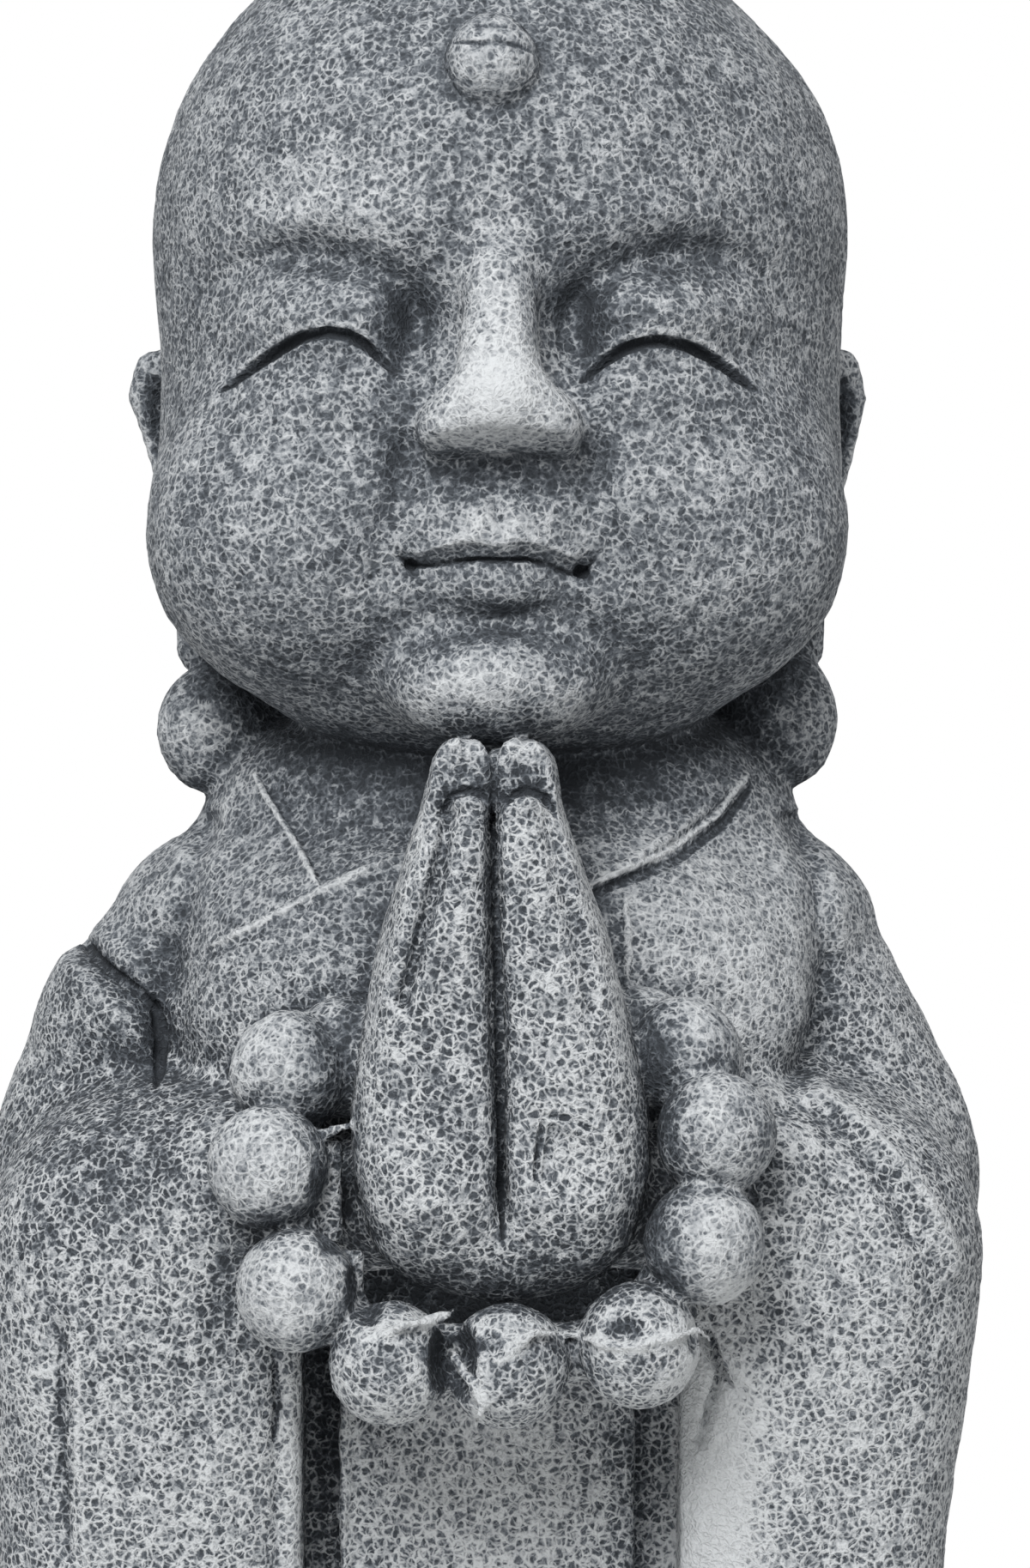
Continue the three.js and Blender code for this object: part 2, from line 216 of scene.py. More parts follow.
def wrap_in_skin(clay):
    """Closed skin of four-sided faces round everything the clay holds."""
    field = clay.field
    inside = field < 0
    corners = [(i, j, k) for i in (0, 1) for j in (0, 1) for k in (0, 1)]
    size = [n - 1 for n in field.shape]
    held = np.zeros(size, np.int8)
    for i, j, k in corners:
        held += inside[i:i + size[0], j:j + size[1], k:k + size[2]]
    crossed = (held > 0) & (held < 8)
    cells = np.argwhere(crossed)
    number = np.full(size, -1, np.int32)
    number[crossed] = np.arange(len(cells))
    total = np.zeros((len(cells), 3))
    count = np.zeros(len(cells))
    value = {c: field[cells[:, 0] + c[0], cells[:, 1] + c[1], cells[:, 2] + c[2]] for c in corners}
    for c in corners:
        for k in range(3):
            if c[k]:
                continue
            e = tuple(1 if m == k else v for m, v in enumerate(c))
            a, b = value[c], value[e]
            meets = (a < 0) != (b < 0)
            t = np.where(meets, a / np.where(meets, a - b, 1), 0)
            total += (np.array(c) + t[:, None] * (np.array(e) - np.array(c))) * meets[:, None]
            count += meets
    at = cells + total / count[:, None]
    points = np.stack([clay.axes[k][0] + at[:, k] * GRAIN for k in range(3)], 1)
    faces = []
    for k in range(3):
        u, v = (k + 1) % 3, (k + 2) % 3
        near, far = [slice(1, -1)] * 3, [slice(1, -1)] * 3
        near[k], far[k] = slice(0, -1), slice(1, None)
        a, b = inside[tuple(near)], inside[tuple(far)]
        where = np.argwhere(a != b)
        leaving = a[tuple(where.T)]
        where[:, u] += 1
        where[:, v] += 1
        ring = []
        for du, dv in ((1, 1), (0, 1), (0, 0), (1, 0)):
            cell = where.copy()
            cell[:, u] -= du
            cell[:, v] -= dv
            ring.append(number[cell[:, 0], cell[:, 1], cell[:, 2]])
        face = np.stack(ring, 1)
        face[~leaving] = face[~leaving][:, ::-1]
        faces.append(face)
    for _ in range(3):
        off = np.clip(clay.sample(points), -GRAIN / 2, GRAIN / 2)
        points -= clay.slope(points) * off[:, None]
    return points, np.concatenate(faces)


# ---- the robe, sleeves and base ------------------------------------------------------------

CROWN = 615.0
BASE_HEIGHT = 28.0
SLEEVE_FOOT = 96.0
# Lines across the front, as (x, z): the lapped neck band's upper and lower edge, and the robe under it.
BAND_TOP = [(-112, 288), (-80, 309), (-50, 330.5), (-30, 340), (0, 358), (30, 378)]
BAND_LOW = [(-20, 300), (25, 331), (50, 345.5), (70, 362), (88, 382)]
UNDER_ROBE = [(-72, 366), (-66.5, 356), (-58, 344), (-50, 331)]


def line_height(x, line):
    return np.interp(x, [p[0] for p in line], [p[1] for p in line])


def make_robe(clay):
    def base(x, y, z):
        outline = (np.abs(x) / 112) ** 3 + (np.abs(y + 10) / 98) ** 3
        return blend_within((outline ** (1 / 3) - 1) * 98, np.abs(z - BASE_HEIGHT / 2) - BASE_HEIGHT / 2, 9)

    def column(x, y, z):
        hem = 1 - ramp(z, 30, 90)
        ring = np.sqrt((x / (94 + 10 * hem)) ** 2 + ((y - 6) / (64 + 14 * hem)) ** 2)
        turn = np.arctan2(x, 6 - y)
        flute = 1.3 * np.sin(turn * 9 + 0.6 * np.sin(turn * 2)) * (1 - ramp(z, 40, 150))
        return blend_within((ring - 1) * 66 - flute, z - 318, 6)

    clay.join(Lump((-112, -108, 0), (112, 88, BASE_HEIGHT), base))
    clay.join(Lump((-120, -90, 20), (120, 100, 320), column), 3)
    # Foot tips under the hem, then the shoulders.
    for side in (-1, 1):
        clay.join(egg((side * 31, -72, 32), (22, 32, 18)), 5)
    clay.join(egg((-1, 8, 319), (111, 62, 47)), 12)

    def chest(x, y, z):
        roundness = (np.abs(x) / 90) ** 2.6 + (np.abs(y + 14) / 62) ** 2.6 + (np.abs(z - 292) / 62) ** 2.2
        return (roundness ** 0.4 - 1) * 62

    clay.join(Lump((-95, -80, 228), (95, 50, 360), chest), 8)


def make_arm(clay, side, extra):
    """Upper arm, forearm and the sleeve that hangs from it. The left one is fuller by extra."""
    clay.join(limb((side * (76 + extra * 0.6), 10, 313), (side * (98 + extra), 10, 262), 33, 37), 3)
    clay.join(limb((side * (102 + extra), 0, 246), (side * 70, -62, 244), 37, 30), 8)
    # The left arm is rounder below the shoulder.
    if side < 0:
        clay.join(egg((-101.5, 4, 289.5), (34, 36, 30.2)), 8)

    def sleeve(x, y, z):
        drop = 1 - ramp(z, 100, 250)
        half_width = 48.5 + extra / 2 - (8 - 0.45 * extra) * drop
        centre_x = side * (88.5 + extra / 2 - (7 - 0.45 * extra) * drop)
        half_depth = 58 - 7 * drop
        across = (np.abs(x - centre_x) / half_width) ** 2.5 + (np.abs(y + 31) / half_depth) ** 2.8
        wall = (across ** 0.38 - 1) * half_width
        top = z - (274 - 0.0016 * (y + 20) ** 2 - 0.004 * (x - side * 98) ** 2)
        return blend_within(blend_within(wall, top, 44), SLEEVE_FOOT - z, 8)

    clay.join(Lump((side * 97 - 62, -100, 86), (side * 97 + 62, 40, 286), sleeve), 7)


def carve_body(clay):
    """Open the front between the sleeves, then lay on the neck, the lapped bands, creases and hems."""
    # Down to the panel of robe, with a deeper gutter beside each sleeve.
    clay.cut(block((-55, -160, 94), (50.2, -57, 238), 2), 0.8)
    clay.cut(block((-55, -100, 94), (-44.7, -41, 238), 1.5), 0.8)
    clay.cut(block((37.5, -100, 94), (50.2, -41, 238), 1.5), 0.8)
    clay.join(egg((0, 8, 350), (86, 54, 44)), 10)

    def neck_layers(x, y, z):
        front = ramp(-y, 10, 30) * ramp(z, 270, 296)
        band = ramp(line_height(x, BAND_TOP) - z, -1.2, 1.2)
        rise = 1.8 * band * (1 - ramp(-x, 84, 112))
        below_band = ramp(line_height(x, BAND_LOW) - z, -1.0, 1.6)
        rise = rise - 2.0 * below_band * ramp(x, -30, 0) * (1 - ramp(x, 60, 95))
        rise = rise + 1.0 * near_line(x, z, [(8, 319)] + BAND_LOW[1:4], 1.5)
        edge = np.interp(z, [p[1] for p in UNDER_ROBE[::-1]], [p[0] for p in UNDER_ROBE[::-1]])
        rise = rise + 1.5 * ramp(edge - x, -1, 1) * (1 - band) * (1 - ramp(-x, 80, 100))
        rise = rise + 0.9 * near_line(x, z, UNDER_ROBE, 1.2) * (1 - band)
        rise = rise + 0.7 * near_line(x, z, BAND_TOP[1:4], 1.2)
        rise = rise + 0.7 * near_line(x, z, [(36, 298), (36, 320)], 1.3)
        return rise * front

    clay.swell((-120, -110, 268), (120, 0, 392), neck_layers)

    creases = [
        (-5.5, [(-128, 318), (-113, 307), (-99, 296), (-96, 286)], 3.4),
        (2.5, [(-124, 309), (-110, 297), (-102, 286)], 6.0),
        (-3.2, [(84, 350), (90, 332), (92, 310), (90, 292), (82, 278)], 4.0),
        (-2.6, [(-84, 348), (-90, 322), (-95, 304), (-96, 292)], 3.8),
    ]

    def arm_creases(x, y, z):
        return soft_lines(x, z, creases) * ramp(-y, -20, 10)

    clay.swell((-140, -110, 255), (130, 20, 350), arm_creases)

    folds = [
        (2.2, [(74, 276), (90, 275), (104, 264), (118, 246), (126, 228)], 3.2),
        (-1.6, [(76, 270), (90, 268), (102, 256), (112, 238)], 3.0),
        (1.4, [(96, 262), (106, 240), (110, 205)], 5.0),
        (-1.8, [(-119, 212), (-119.5, 176), (-118, 150)], 1.8),
        (1.2, [(-113, 215), (-113, 150), (-112, 100)], 5.0),
        (-1.0, [(-84, 190), (-86, 120)], 5.0),
        (-1.0, [(92, 180), (88, 110)], 6.0),
        (0.9, [(118, 200), (114, 110)], 6.0),
    ]

    def sleeve_folds(x, y, z):
        return soft_lines(x, z, folds) * ramp(-y, 20, 50)

    clay.swell((-150, -110, 95), (140, -20, 290), sleeve_folds)

    def hems(x, y, z):
        """Rolled edge down the left sleeve, and the right sleeve's flat border with its split."""
        front = ramp(-y, 60, 80) * (1 - ramp(z, 212, 232))
        rise = 1.6 * np.exp(-((x + 56.5) / 2.4) ** 2) - 1.4 * np.exp(-((x + 61) / 1.3) ** 2)
        rise = rise + 1.2 * np.exp(-((x - 54) / 5) ** 2)
        split = near_line(x, z, [(56, 210), (61, 199), (57, 188), (55, 180)], 1.4)
        rise = rise - 3.0 * split - 1.6 * near_line(x, z, [(62, 199), (67, 193)], 1.3)
        return rise * front

    clay.swell((-80, -110, 90), (85, -50, 236), hems)

    seams = [(1.4, [(-48, 205), (-47.6, 150), (-48, 100)], 0.9),
             (1.2, [(44, 205), (44.3, 150), (44, 100)], 0.9)]

    def panel_seams(x, y, z):
        return soft_lines(x, z, seams) * (1 - ramp(z, 205, 225)) * ramp(z, 90, 100)

    clay.swell((-54, -62, 90), (49.5, -38, 225), panel_seams)


# ---- the head ------------------------------------------------------------------------------
LEFT_SLIT = [(-77, 468), (-72, 471), (-66, 475), (-60, 478.7), (-54, 481.2), (-47, 482.3), (-41, 481.4),
             (-36, 478.8), (-32, 475.2), (-28, 471)]
RIGHT_SLIT = [(22, 469), (25, 472), (29, 475), (33.5, 477.6), (38.5, 479.3), (44.5, 480), (51, 479),
              (57, 476.6), (63, 473), (68, 469.6), (71, 467.5)]
MOUTH = [(-27.5, 421.8), (-24, 419.2), (-19, 418.8), (-13, 419.8), (-6, 420.5), (0, 420.2), (7, 420.5),
         (12, 419.4), (17, 417.3), (21.5, 416.8), (26, 420.6)]
UPPER_LIP = [(-23, 422), (-15, 424.8), (-8, 426.2), (-1, 424.8), (6, 426.2), (13, 424.6), (20, 421.4)]


def make_head():
    head = Clay((-122, -132, 340), (122, 112, 625))
    # Skull, jaw, full cheeks, the fold under the chin, and the chin.
    head.join(egg((0, 2, 519), (101, 99, CROWN - 519)))
    head.join(egg((-0.3, -6, 441), (98, 87, 73)), 34)
    for side in (-1, 1):
        head.join(egg((side * 48.5 - 1, -50, 427), (47.5, 44, 43)), 24)
    head.join(egg((0, -20, 392), (60, 58, 25)), 14)
    head.join(egg((-1, -79, 387.5), (29, 21.5, 16.5)), 11)

    arch = [(10, 483), (16, 487), (22, 492), (28, 496.5), (36, 501), (50, 505.5), (62, 506), (72, 503),
            (82, 497)]
    cheek_fold = [(25, 450), (26, 438), (31, 427), (32, 417)]

    def brow_lid_cheek(x, y, z):
        rise = 0
        for side in (-1, 1):
            u = side * (x + 1)
            brow = 499 + 8 * np.sin(np.clip((u - 4) / 76, 0, 1) * np.pi)
            below = brow - z
            wide = ramp(u, 6, 24) * (1 - ramp(u, 50, 92))
            lift = -4.2 * wide * near_line(u, z, arch, 5.5)
            lift = lift + 2.2 * ramp(u, 6, 24) * (1 - ramp(u, 56, 92)) * np.exp(-((below + 8) / 7) ** 2)
            lift = lift - 6.5 * hill(u, z, 23, 483, 6.5, 14) - 3.5 * hill(u, z, 17, 486, 9, 14)
            lift = lift + 7.5 * hill(u, z, 50, 487, 22, 9.5)
            lift = lift + 3.5 * hill(u, z, 50, 467, 25, 10)
            rise = rise + lift * (u > 0)
        rise = rise - 1.5 * hill(x, z, 1, 405.5, 8, 4)
        for side in (-1, 1):
            fold = [(side * out - 0.5, height) for out, height in cheek_fold]
            rise = rise - 2.6 * near_line(x, z, fold, 4.5)
        return rise * ramp(-y, 35, 60)

    head.swell((-110, -130, 380), (110, -20, 560), brow_lid_cheek)

    def crown_fall(x, y, z):
        """The crown falls away a little more on the right."""
        return -2.6 * ramp(x, 15, 70) * ramp(z, 545, 585) + 0 * y

    head.swell((0, -130, 530), (130, 130, 625), crown_fall)
    make_nose(head)
    make_mouth(head)
    head.join(egg(BROW_BUTTON, (13, 12, 13)), 2)
    # Ears: a rim with a hollow in it, and a long lobe that rests on the shoulder.
    for side in (-1, 1):
        rim = [(side * 96, 12, 482.5), (side * 101.5 - 1, 15, 482.5), (side * 103.8 - 0.7, 17, 474),
               (side * 99, 18, 457), (side * 90, 17, 430), (side * 87, 14, 400)]
        head.join(roll(rim, [5, 5.2, 5, 5, 6, 8]), 4)
        head.cut(egg((side * 99.5, 8, 464.5), (4, 9, 13)), 3)
        head.join(egg((side * 72, 16, 380), (18, 13, 22)), 6)
    for place, half in (((-83.2, 6, 376), (17.2, 14, 19)), ((81.8, 6, 379.5), (16.8, 14, 20.5))):
        head.join(egg(place, half), 4)
    return head


def make_nose(head):
    """Narrow bridge, round tip, and a flat underside that slopes up toward the tip."""
    nose = Clay((-40, -128, 425), (40, -50, 530))
    nose.join(roll([(0, -80, 512), (0, -95.5, 495), (0, -101.5, 478), (0, -105.5, 464)], [8, 9.5, 10.5, 12]))
    nose.join(egg((0, -105.5, 460), (17, 13, 12)), 5)
    for side in (-1, 1):
        nose.join(egg((side * 13.5, -102, 456), (9, 12.5, 9)), 4)

    def below_tip(x, y, z):
        return z - 443 + (y + 88) * 0.42 + 0 * x

    nose.cut(Lump((-40, -128, 425), (40, -50, 462), below_tip), 1.2)
    for side in (-1, 1):
        nose.cut(egg((side * 9.5, -103, 446), (6.5, 8, 3)), 2)
    head.take(nose, 6)


def make_mouth(head):
    head.join(egg((-1, -84, 430), (25, 17, 14)), 8)
    head.join(egg((-1, -85.5, 413.5), (15, 11, 6)), 10)

    def press(x, y, z):
        rise = -1.0 * near_line(x, z, MOUTH, 2.4)
        rise = rise - 2.4 * hill(x, z, -24, 419.5, 3.5, 3) - 2.4 * hill(x, z, 22.6, 418, 3.5, 3)
        return rise + 1.3 * near_line(x, z, UPPER_LIP, 2.2) - 1.4 * hill(x, z, -0.5, 433, 2.4, 6)

    head.swell((-40, -125, 405), (40, -70, 445), press)


# ---- hands and beads -----------------------------------------------------------------------
HAND_HEIGHTS = [221, 228, 238, 257, 271, 294, 317, 340, 352, 362, 375]
HAND_WIDTHS = [22, 29, 34.5, 39.6, 39.6, 36, 31, 23.5, 19, 17, 15.5]


def make_hands():
    pair = Clay((-48, -140, 208), (48, -52, 384))
    for side in (-1, 1):
        hand = Clay((-48, -140, 208), (48, -52, 384))

        def palm(x, y, z):
            middle = -1.8 + 2.8 * (1 - ramp(z, 235, 345))
            half_width = np.interp(z, HAND_HEIGHTS, HAND_WIDTHS) / 2
            across = side * (x - middle) - 0.3 - half_width
            front = np.interp(z, [221, 233, 248, 300, 340, 352], [-112, -124, -130, -128, -125, -123])
            back = np.interp(z, [221, 238, 270, 320, 352, 375], [-84, -68, -62, -66, -76, -82])
            centre, half_depth = (front + back) / 2, (back - front) / 2
            # Rounded on the outside, nearly square where the hands meet.
            power = 2.6 + 3.0 * ramp(-across / half_width, 0, 0.5)
            sideways = np.abs(across / half_width) ** power
            ring = (sideways + np.abs((y - centre) / half_depth) ** power) ** (1 / power)
            wall = (ring - 1) * half_width * 0.95
            wall = blend_within(wall, z - (372.5 - 0.06 * across ** 2), 5)
            return blend_within(wall, 221.5 - z, 18)

        hand.join(Lump((side * 20 - 24, -134, 219), (side * 20 + 24, -58, 378), palm))
        # The little finger, nearest the viewer, stops short of the fingers behind it.
        cut, x, y, z = hand.window((-60, -140, 335), (60, -108, 380))
        tip = blend_within(356.5 - 0.07 * (side * (x + 0.4) - 7.5) ** 2 - z, y + 115 + 0 * x, 1.5)
        hand.field[cut] = blend_within(hand.field[cut], -tip.astype(np.float32), 1)
        pair.field = np.minimum(pair.field, hand.field)
    # Stone that fills the slot between the hands behind its mouth, and their heel.
    pair.join(block((-2.4, -119, 240), (1.8, -79, 350), 1))
    pair.join(egg((1.2, -106, 238), (20, 18, 16.5)), 4)
    pair.join(block((-3, -113, 350), (0.8, -79, 369.5), 1.5))

    def marks(x, y, z):
        front = ramp(-y, 100, 112)
        rise = -3.0 * near_line(x, z, [(-13, 353), (-16, 336), (-21, 318), (-25, 303)], 2.2) * front
        rise = rise - 1.5 * near_line(x, z, [(12, 354), (16, 336), (21, 316), (24, 300)], 2.6) * front
        rise = rise - 1.2 * near_line(x, z, [(-1.1, 376), (-1.1, 352)], 1.5) * ramp(-y, 90, 104)
        for split in ([(-9, 376), (-8.5, 362)], [(7, 376), (6.5, 362)]):
            rise = rise - 1.2 * near_line(x, z, split, 1.3) * ramp(-y, 98, 108)
        rise = rise + 1.5 * hill(x, z, -22, 250, 14, 16) * front - 1.2 * hill(x, z, -12, 300, 7, 14) * front
        # A scar on the right hand where a skin of stone lifted off.
        rise = rise - 1.6 * near_line(x, z, [(14, 270), (13, 262), (11.5, 256)], 1.3) * front
        rise = rise - 1.2 * hill(x, z, 19, 262, 6, 8) * front
        rise = rise - 1.0 * near_line(x, z, [(-1.8, 350), (0.2, 290), (1.0, 246)], 1.4) * front
        return rise + 0.9 * near_line(x, z, [(14, 271), (20, 270), (27, 266)], 1.2) * front

    pair.swell((-48, -135, 225), (48, -85, 380), marks)
    return pair


BEAD_RADIUS = 16.1
BROW_BUTTON = (-2, -90, 556)
LOWEST_BEADS = 215    # the beads that hang under the hands lie below this height
BEADS = [(-42, -81, 285.5), (-57, -91, 282), (-61.7, -108, 257.5), (-53.8, -116, 225.5), (-29, -119, 206.5),
         (2.5, -120, 206), (37, -118, 211.5), (54.9, -114, 238), (58.2, -108, 266.5), (50, -92, 286),
         (38, -81, 288.5)]


def make_beads(clay):
    # A ring of stone behind the beads holds them together.
    string = BEADS + [(20, -70, 290), (-22, -70, 289), BEADS[0]]
    clay.join(roll([(x * 0.96, y + 8, z) for x, y, z in string], [8] * len(string)), 2)
    for bead in BEADS:
        clay.join(egg(bead, (BEAD_RADIUS, BEAD_RADIUS, BEAD_RADIUS + 0.5)), 1.2)
    clay.join(roll([(-50, -82, 284), (-38, -86, 288), (-28, -88, 290)], [12, 9, 7]), 4)
    # Places where the mould tore the stone away.
    for middle, half in TORN_PLACES:
        clay.cut(egg(middle, half), 0.8)
    # Thin films of stone left where the halves of the mould met.
    for low, high in FILM_SHEETS:
        clay.join(block(low, high, 0.9), 1.5)
    for line, radii in FILM_SPIKES:
        clay.join(roll(line, radii), 1.0)


# Where the mould tore stone away: middle and half size.
TORN_PLACES = [
    ((-43.5, -123, 250), (7, 12, 13)), ((-35, -126, 228), (5.5, 12, 10)), ((-34.5, -134, 220), (3.5, 8, 4)),
    ((-12, -130, 209), (6.5, 15, 11)), ((-15.5, -134, 196), (4, 8, 5)), ((-5, -137, 214), (7, 5.5, 5.5)),
    ((-14, -128, 190), (3, 8, 3)), ((9, -136, 222), (6, 5, 4)), ((2, -138, 198), (4, 3, 5)),
    ((31, -135.5, 218), (7.5, 6.5, 5.2)), ((43.5, -135.5, 221), (3.6, 5, 2.8)),
    ((53.5, -124, 214), (4, 8, 5)),
]
# Flat films between beads, as two opposite corners.
FILM_SHEETS = [
    ((-54, -106, 237), (-42, -101, 264)), ((-43, -112, 207), (-36, -107, 236)),
    ((8, -122, 213.4), (26, -118, 215.6)), ((-24, -112, 198), (-8, -107, 216)),
]
# Torn edges of films, as a line of places and the radius at each. The first is not brushed pale, and
# neither is the last, which lies back between the left sleeve and the robe.
FILM_SPIKES = [
    ([(-49, -106, 265), (-43, -109, 268), (-35, -113, 271)], [1.9, 1.3, 0.8]),
    ([(-20, -128, 218), (-16, -129, 220), (-11.5, -128, 221.5)], [2.3, 1.7, 0.9]),
    ([(22, -128, 214.5), (30, -134, 213), (38, -134.5, 213.5), (46, -133, 215), (52, -128, 217),
      (56, -122, 213)], [1.0, 1.1, 1.1, 1.2, 1.2, 1.0]),
    ([(-12, -124, 210), (-8, -131, 204), (-4, -134, 198), (-6, -132, 192)], [1.2, 1.4, 1.3, 1.0]),
    ([(-4, -133, 209), (2, -135.5, 211), (9, -134.5, 217), (15, -130, 216)], [1.2, 1.4, 1.3, 1.0]),
    ([(-30, -132, 216), (-24, -133.5, 219), (-19, -131, 219)], [1.3, 1.5, 1.3]),
    ([(-48, -46, 153), (-46, -52, 156.5), (-43, -58, 155)], [1.2, 1.2, 1.0]),
]


def model_statue():
    clay = Clay((-158, -142, -6), (150, 112, 628))
    make_robe(clay)
    make_arm(clay, -1, 10)
    make_arm(clay, 1, 0)
    carve_body(clay)
    clay.take(make_head(), 3)
    clay.take(make_hands(), 1.5)
    for side in (-1, 1):
        clay.join(limb((side * 22, -84, 246), (side * 60, -50, 244), 17, 22), 4)
    make_beads(clay)
    cut, x, y, z = clay.window((-999, -999, -999), (999, 999, 3))
    clay.field[cut] = np.maximum(clay.field[cut], -z)
    return clay


# ---- fine lines, laid on the skin after it is wrapped ----------------------------------------
# Each line runs across the front as (x, z), then its half width, its rise (a cut is below
# zero), and the nearest and farthest y it is laid on, all in millimetres.
FINE_LINES = [
    # The button on the brow: a ring round its foot and two creases across it.
    ([(-1.8 + 13.4 * math.cos(t * 0.35), 555 + 12.8 * math.sin(t * 0.35)) for t in range(19)],
     1.4, -0.3, -120, -50),
    ([(-13, 560), (-4, 559.2), (4, 559), (9.5, 557)], 0.9, -0.9, -130, -80),
    ([(-8, 564), (-2, 564.3), (3, 563.6)], 0.8, -0.7, -130, -80),
    # Closed eyes, each with the edge of the upper lid raised over it.
    (LEFT_SLIT, 1.9, -3.6, -115, -50),
    (RIGHT_SLIT, 1.9, -3.6, -115, -50),
    ([(x, z + 2.6) for x, z in LEFT_SLIT[1:-1]], 1.5, 0.5, -115, -50),
    ([(x, z + 2.6) for x, z in RIGHT_SLIT[1:-1]], 1.5, 0.5, -115, -50),
    # Mouth, deepest in the middle and at both ends, the upper lip's edge, and the groove over it.
    (MOUTH, 0.8, -1.2, -115, -70),
    (MOUTH[3:8], 0.8, -1.2, -115, -70),
    (UPPER_LIP, 1.3, 0.35, -115, -70),
    ([(-25.5, 420), (-22.5, 418.8)], 1.7, -2.2, -115, -70),
    ([(20.5, 417.8), (24, 417.2)], 1.9, -2.8, -115, -70),
    ([(-0.5, 437), (-0.5, 430)], 1.5, -0.4, -115, -70),
    # Edges of the under-robe and of the neck band's upper side.
    (UNDER_ROBE, 1.1, 1.2, -90, -20),
    ([(-83, 313.8), (-71.8, 318.6), (-50.4, 330), (-28, 339.5)], 1.1, 1.2, -90, -20),
    # Crease where the left upper arm meets its sleeve.
    ([(-127, 317.5), (-113, 307.5), (-103, 300.5), (-98, 295.5)], 1.7, -2.4, -70, 14),
    ([(-98.5, 298), (-96.5, 288), (-96.5, 275)], 2.2, -2.4, -80, 10),
    # A faint line below that edge, the lapped edge on the right with the line under it, a chest seam.
    ([(-84, 311), (-72, 315.6), (-50, 327), (-28, 336.5)], 1.5, -0.3, -90, -20),
    ([(22, 331), (47.9, 341.4), (61.3, 350.9), (70.3, 362.3), (73, 368)], 1.2, 1.0, -90, -20),
    ([(22, 328.2), (49.5, 338.8), (63.5, 348.6), (73, 360.6)], 1.8, -1.1, -90, -20),
    ([(34.6, 330), (35.4, 318), (35, 304)], 1.2, 0.8, -90, -40),
    # Splits in the hems of the two sleeves.
    ([(-61.5, 203), (-60.8, 190), (-61.8, 180)], 1.2, -1.3, -110, -60),
    ([(56.5, 212), (59, 206), (60.5, 200), (57.5, 191), (56, 184)], 1.2, -1.6, -110, -60),
    ([(60, 201), (64, 195)], 1.0, -0.9, -110, -60),
    # The scar on the right hand.
    ([(11.5, 272), (10.5, 264), (9.5, 256)], 1.2, -1.5, -140, -100),
    ([(11, 274.5), (17, 274.6), (23, 272), (30, 267)], 0.9, 0.5, -140, -100),
    ([(12, 272.5), (18, 272.3), (25, 269)], 1.1, -0.7, -140, -100),
    # The slot between the hands, then the ledge over each little finger and the rim of its tip.
    ([(-1.8, 354), (-0.6, 318), (0.4, 280), (0.9, 240)], 1.2, -3.4, -140, -100),
    ([(-15.5, 352), (-12.5, 356.6), (-8, 358.4), (-4.5, 357.2), (-3, 354.5)], 1.4, -1.3, -140, -100),
    ([(2, 354.5), (3.8, 357.2), (7.5, 358.4), (12, 356.6), (15, 352)], 1.4, -1.3, -140, -100),
    ([(-13, 352), (-11, 354.6), (-8, 355.8), (-5, 354.6)], 1.1, 0.5, -140, -100),
    ([(4, 354.6), (7.5, 355.8), (10.5, 354.6), (12.5, 352)], 1.1, 0.5, -140, -100),
    # Seam of the mould down the left sleeve, and the fold on the right one.
    ([(-119, 215), (-119.8, 190), (-118, 150)], 1.5, -0.5, -110, -40),
    ([(-114.5, 215), (-115, 180), (-112.5, 140)], 1.3, 0.5, -110, -40),
    ([(79, 272), (90, 275), (104, 264), (118, 246), (124, 232)], 1.4, 0.35, -110, -20),
]


def off_line(x, z, line):
    """Distance to a line in (x, z), and how far along it the nearest place is, from 0 to 1."""
    line = np.array(line, float)
    runs = line[1:] - line[:-1]
    lengths = np.hypot(runs[:, 0], runs[:, 1])
    before = np.concatenate([[0], np.cumsum(lengths)])
    best, where = np.full(len(x), 1e9), np.zeros(len(x))
    for n, (run, length) in enumerate(zip(runs, lengths)):
        along = np.clip(((x - line[n, 0]) * run[0] + (z - line[n, 1]) * run[1]) / length ** 2, 0, 1)
        off = np.hypot(x - line[n, 0] - along * run[0], z - line[n, 1] - along * run[1])
        nearer = off < best
        best = np.where(nearer, off, best)
        where = np.where(nearer, (before[n] + along * length) / before[-1], where)
    return best, where


def fine_rise(points, widen=0.0):
    """Rise of the skin from the fine lines or, with widen, how many of them pass that near."""
    total = np.zeros(len(points))
    for line, half, rise, near, far in FINE_LINES:
        (x0, z0), (x1, z1) = np.min(line, 0) - 5, np.max(line, 0) + 5
        x, y, z = points.T
        here = np.flatnonzero((x > x0) & (x < x1) & (z > z0) & (z < z1) & (y > near) & (y < far))
        off, where = off_line(points[here, 0], points[here, 2], line)
        if widen:
            total[here] += off < half + widen
            continue
        taper = half * (0.25 + 0.75 * np.clip(5.5 * where * (1 - where), 0, 1) ** 0.5)
        depth = rise * (1 - ramp(off, taper * 0.4, taper))
        total[here] += depth * np.clip(8 * where * (1 - where) + 0.3, 0, 1)
    return total


def refine(mesh):
    """Split the faces that lie along fine lines, so that the lines come out crisp."""
    edges = np.empty(len(mesh.edges) * 2, np.int32)
    mesh.edges.foreach_get("vertices", edges)
    at = places(mesh) * 1000
    middle = at[edges.reshape(-1, 2)].mean(1)
    chosen = np.flatnonzero(fine_rise(middle, GRAIN * 0.75))
    work = bmesh.new()
    work.from_mesh(mesh)
    work.edges.ensure_lookup_table()
    bmesh.ops.subdivide_edges(work, edges=[work.edges[int(n)] for n in chosen], cuts=3, use_grid_fill=True)
    work.to_mesh(mesh)
    work.free()


# ---- rough casting skin --------------------------------------------------------------------


